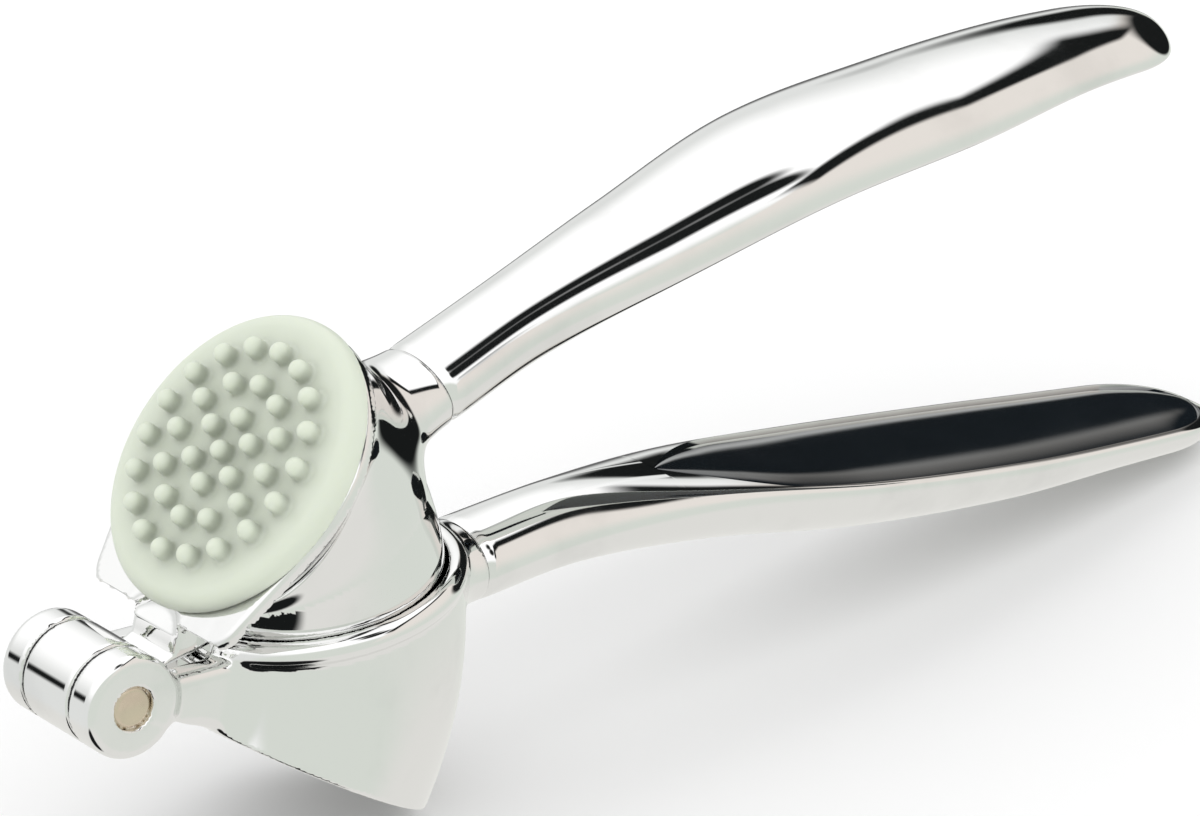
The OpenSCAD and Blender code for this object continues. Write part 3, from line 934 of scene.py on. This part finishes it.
def grip():
    return made_once("black_gloss_inlay", grip_material)


def settle(piece, body, slot, *nodes):
    """Rides a piece on its body and hides the CAD nodes it stands for."""
    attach(piece, body)
    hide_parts(*nodes)


# ---------------------------------------------------------------- operators
# How far the castings' grids reach to each side of the hinge's middle and behind its axis.
GRID_SIDE, GRID_BACK = 21 * MM, 8 * MM


class PRESS_OT_hopper(bpy.types.Operator):
    """Hopper casting with its lip, ears and outer knuckles"""
    bl_idname = "press.hopper"
    bl_label = "Hopper casting"

    def execute(self, context):
        s = sizes()
        low = (-GRID_BACK, -GRID_SIDE, -0.52 * (s.hopper_d + s.skin_r + 3 * MM))
        high = (s.root + 1 * MM, GRID_SIDE, 15 * MM)
        piece = skin_of("hopper_casting", hopper_solid, low, high, s.cell)
        settle(dress(piece, chrome()), "lower_arm", "chrome_casting", "hopper_body")
        return {"FINISHED"}


class PRESS_OT_plunger(bpy.types.Operator):
    """Plunger casting with its flared head, web and middle knuckle"""
    bl_idname = "press.plunger"
    bl_label = "Plunger casting"

    def execute(self, context):
        s = sizes()
        low = (-GRID_BACK, -GRID_SIDE, -16 * MM)
        high = (s.root + 4 * MM, GRID_SIDE, 42 * MM)
        piece = skin_of("plunger_casting", plunger_solid, low, high, s.cell)
        settle(dress(piece, chrome()), "upper_arm", "chrome_casting", "plunger_head")
        return {"FINISHED"}


class PRESS_OT_pad(bpy.types.Operator):
    """Nubbed cleaner pad on the plunger's back"""
    bl_idname = "press.pad"
    bl_label = "Cleaner pad"

    def execute(self, context):
        low, high = (0, -GRID_SIDE, 6 * MM), (38 * MM, GRID_SIDE, 44 * MM)
        finer = 0.8
        piece = skin_of("cleaner_pad", pad_solid, low, high, sizes().cell * finer)
        settle(dress(piece, made_once("translucent_pad", pad_material)), "upper_arm", "cleaner_plastic",
               "cleaner_disc")
        return {"FINISHED"}


class PRESS_OT_handles(bpy.types.Operator):
    """The two handles, each with the recess for its inlay"""
    bl_idname = "press.handles"
    bl_label = "Handles"

    def execute(self, context):
        for column, body, name in ((LOWER, "lower_arm", "lower_handle"),
                                   (UPPER, "upper_arm", "upper_handle")):
            piece = loft(name + "_skin", handle_rings(HandleShape(column)))
            settle(dress(piece, chrome()), body, "chrome_casting", name)
        return {"FINISHED"}


class PRESS_OT_inlays(bpy.types.Operator):
    """Black inlays in the inner faces of the grips"""
    bl_idname = "press.inlays"
    bl_label = "Grip inlays"

    def execute(self, context):
        for column, body, name in ((LOWER, "lower_arm", "lower_grip_inlay"),
                                   (UPPER, "upper_arm", "upper_grip_inlay")):
            piece = loft(name + "_skin", inlay_rings(HandleShape(column)))
            settle(dress(piece, grip()), body, "grip_black", name)
        return {"FINISHED"}


class PRESS_OT_hinge(bpy.types.Operator):
    """Hinge pin with formed ends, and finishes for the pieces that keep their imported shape"""
    bl_idname = "press.hinge"
    bl_label = "Hinge and small parts"

    def execute(self, context):
        piece = lathe("formed_pin", pin_profile())
        settle(dress(piece, made_once("warm_pin_metal", pin_material)), "lower_arm", "pin_metal",
               "hinge_pin")
        kept = {"sieve_plate": ("satin_sieve_steel", sieve_material),
                "hinge_washers": ("dark_washer", washer_material),
                "lower_handle_stud": ("plain_stud_steel", stud_material),
                "upper_handle_stud": ("plain_stud_steel", stud_material)}
        for name, (label, make) in kept.items():
            dress(frame["nodes"][name], made_once(label, make))
        return {"FINISHED"}


class PRESS_OT_stage(bpy.types.Operator):
    """Pale floor, white tent of light and the camera"""
    bl_idname = "press.stage"
    bl_label = "Stage"

    def execute(self, context):
        make_floor()
        make_sky()
        make_camera()
        return {"FINISHED"}


def make_floor():
    """A pale floor that the chrome doesn't reflect: the tent has its own colour for it."""
    side = 3.0
    corners = [(-side, -side, 0), (side, -side, 0), (side, side, 0), (-side, side, 0)]
    mesh = bpy.data.meshes.new("floor")
    mesh.from_pydata(corners, [], [(0, 1, 2, 3)])
    floor = bpy.data.objects.new("floor", mesh)
    bpy.context.scene.collection.objects.link(floor)
    made, tree, shader = new_material("pale_floor")
    group = placed(tree, "moulded_surface", Base=0.6, Vary=0.1, Grain=300.0)
    tree.links.new(group.outputs["Roughness"], shader.inputs["Roughness"])
    tinted(tree, shader, group.outputs["Cloud"], shade(colours().floor, 0.995), colours().floor)
    shader.inputs["Specular IOR Level"].default_value = 0.1
    floor.data.materials.append(made)
    floor.visible_glossy = False


# The tent that the chrome reflects is made of round cards, each with its azimuth, elevation, angular
# radius and softness in degrees. Heights are the upward part of a direction, from -1 to 1.
FRONT = (-110, -20, 55, 14)        # pale grey-green card on the camera's side
FILL = (-19.7, -15, 67, 3)         # the large warm card in front of the grips
DARK_CARDS = ((128, 7, 4.5, 5), (-158, -54, 22, 8), (-69, 54, 9, 6), (-60, 68, 7, 6),
              (16, 5, 25, 6), (44.5, 6, 8, 5))
EDGE_CARD = (54, -16, 10, 10)      # grey card behind the press that draws its outline
WALL = (0.42, 0.5)                 # height at which the tent's wall turns white, and how softly
FLOOR = (-0.5, 0.2)                # height below which the floor shows, and how softly it starts
FILL_COOLS = (0.1, 0.7)            # height below which the warm card turns grey-green, and how softly
SLIT_TOP = (-12, 52)               # where the dark slit round the fill is narrowest
SLIT = (2.4, 0.04, 2.4)            # its half width there, how it widens from there, its softness
SLIT_REACH = (44, 10)              # how far round the fill it goes from there, and how softly it ends


def toward(az, el):
    az, el = math.radians(az), math.radians(el)
    return (math.cos(el) * math.cos(az), math.cos(el) * math.sin(az), math.sin(el))


def angle_from(tree, where, az, el):
    """Angle in degrees between a direction and the one at an azimuth and an elevation."""
    dot = node(tree, "ShaderNodeVectorMath", operation="DOT_PRODUCT")
    tree.links.new(where, dot.inputs[0])
    dot.inputs[1].default_value = toward(az, el)
    return math_node(tree, "DEGREES", math_node(tree, "ARCCOSINE", dot.outputs["Value"]))


def soft_step(tree, value, edge, softness):
    """1 well below the edge, 0 well above it. The edge can be a number or a socket."""
    under = math_node(tree, "SUBTRACT", edge, value)
    return ramp(tree, under, -softness / 2, softness / 2, "SMOOTHSTEP")


def with_card(tree, where, tent, card, tint):
    """The tent with one more round card over it."""
    az, el, radius, softness = card
    inside = soft_step(tree, angle_from(tree, where, az, el), radius, softness)
    return blended(tree, inside, tent, tint)


def tent_colour(tree, where):
    """Colour of the tent in each direction, as the chrome sees it."""
    c = colours()
    parts = node(tree, "ShaderNodeSeparateXYZ")
    tree.links.new(where, parts.inputs[0])
    up = parts.outputs["Z"]
    tent = blended(tree, soft_step(tree, up, *WALL), c.tent_top, c.tent_wall)
    tent = with_card(tree, where, tent, FRONT, c.tent_front)
    az, el, radius, softness = FILL
    from_fill = angle_from(tree, where, az, el)
    fill = blended(tree, soft_step(tree, up, *FILL_COOLS), c.tent_warm, c.tent_front)
    tent = blended(tree, soft_step(tree, from_fill, radius, softness), tent, fill)
    narrow, widen, softness = SLIT
    from_top = angle_from(tree, where, *SLIT_TOP)
    half = math_node(tree, "MULTIPLY_ADD", from_top, widen, narrow)
    off = math_node(tree, "ABSOLUTE", math_node(tree, "SUBTRACT", from_fill, radius))
    slit = math_node(tree, "MULTIPLY", soft_step(tree, off, half, softness),
                     soft_step(tree, from_top, *SLIT_REACH))
    tent = blended(tree, slit, tent, c.tent_dark)
    tent = blended(tree, soft_step(tree, up, *FLOOR), tent, c.tent_floor)
    tent = with_card(tree, where, tent, EDGE_CARD, c.tent_edge)
    for card in DARK_CARDS:
        tent = with_card(tree, where, tent, card, c.tent_dark)
    return tent


def make_sky():
    """A tent that lights evenly, looks white to the camera and shows its cards to reflections."""
    world = bpy.data.worlds.new("white_tent")
    bpy.context.scene.world = world
    world.use_nodes = True
    tree = world.node_tree
    back = tree.nodes["Background"]
    where = node(tree, "ShaderNodeTexCoord").outputs["Generated"]
    path = node(tree, "ShaderNodeLightPath")
    seen = blended(tree, path.outputs["Is Glossy Ray"], (1, 1, 1), tent_colour(tree, where))
    tree.links.new(seen, back.inputs["Color"])
    back.inputs["Strength"].default_value = studio().sky


def make_camera():
    v = studio()
    az, el = v.azimuth, v.elevation
    forward = np.array([math.sin(-az) * math.cos(el), math.cos(az) * math.cos(el), -math.sin(el)])
    right = np.array([math.cos(az), math.sin(az), 0.0])
    up = np.cross(right, forward)
    right, up = (math.cos(v.roll) * right + math.sin(v.roll) * up,
                 math.cos(v.roll) * up - math.sin(v.roll) * right)
    place = stand(v.aim_right * right + v.aim_up * up - v.distance * forward)
    axes = np.stack([right, up, -forward]) @ rest_turn().T
    data = bpy.data.cameras.new("studio_camera")
    data.lens, data.sensor_width = v.lens, 36.0
    data.clip_start, data.clip_end = 0.05, 20.0
    camera = bpy.data.objects.new("studio_camera", data)
    camera.matrix_world = Matrix.Translation(place) @ Matrix(axes.T.tolist()).to_4x4()
    bpy.context.scene.collection.objects.link(camera)
    bpy.context.scene.camera = camera


# ---------------------------------------------------------------- panel and registration
STEPS = (PRESS_OT_hopper, PRESS_OT_plunger, PRESS_OT_pad, PRESS_OT_handles, PRESS_OT_inlays, PRESS_OT_hinge,
         PRESS_OT_stage)


class PRESS_PT_panel(bpy.types.Panel):
    """Lists the sizes, the colours and the steps that build the press"""
    bl_idname = "PRESS_PT_panel"
    bl_label = "Garlic press"
    bl_space_type = "VIEW_3D"
    bl_region_type = "UI"
    bl_category = "Garlic press"

    def draw(self, context):
        for group in (sizes(), colours(), studio()):
            box = self.layout.box()
            for name in group.bl_rna.properties.keys():
                if name not in {"rna_type", "name"}:
                    box.prop(group, name)
        for step in STEPS:
            self.layout.operator(step.bl_idname)


GROUP_TYPES = {"press_sizes": PressSizes, "press_colours": PressColours, "press_studio": PressStudio}


def register():
    for kind in (*GROUP_TYPES.values(), *STEPS, PRESS_PT_panel):
        bpy.utils.register_class(kind)
    for name, kind in GROUP_TYPES.items():
        setattr(bpy.types.Scene, name, bpy.props.PointerProperty(type=kind))


def unregister():
    for name in GROUP_TYPES:
        delattr(bpy.types.Scene, name)
    for kind in reversed((*GROUP_TYPES.values(), *STEPS, PRESS_PT_panel)):
        bpy.utils.unregister_class(kind)


def main():
    register()
    bpy.context.scene.view_settings.view_transform = "Standard"
    bpy.ops.press.hopper()
    bpy.ops.press.plunger()
    bpy.ops.press.pad()
    bpy.ops.press.handles()
    bpy.ops.press.inlays()
    bpy.ops.press.hinge()
    bpy.ops.press.stage()


if __name__ == "__main__":
    main()
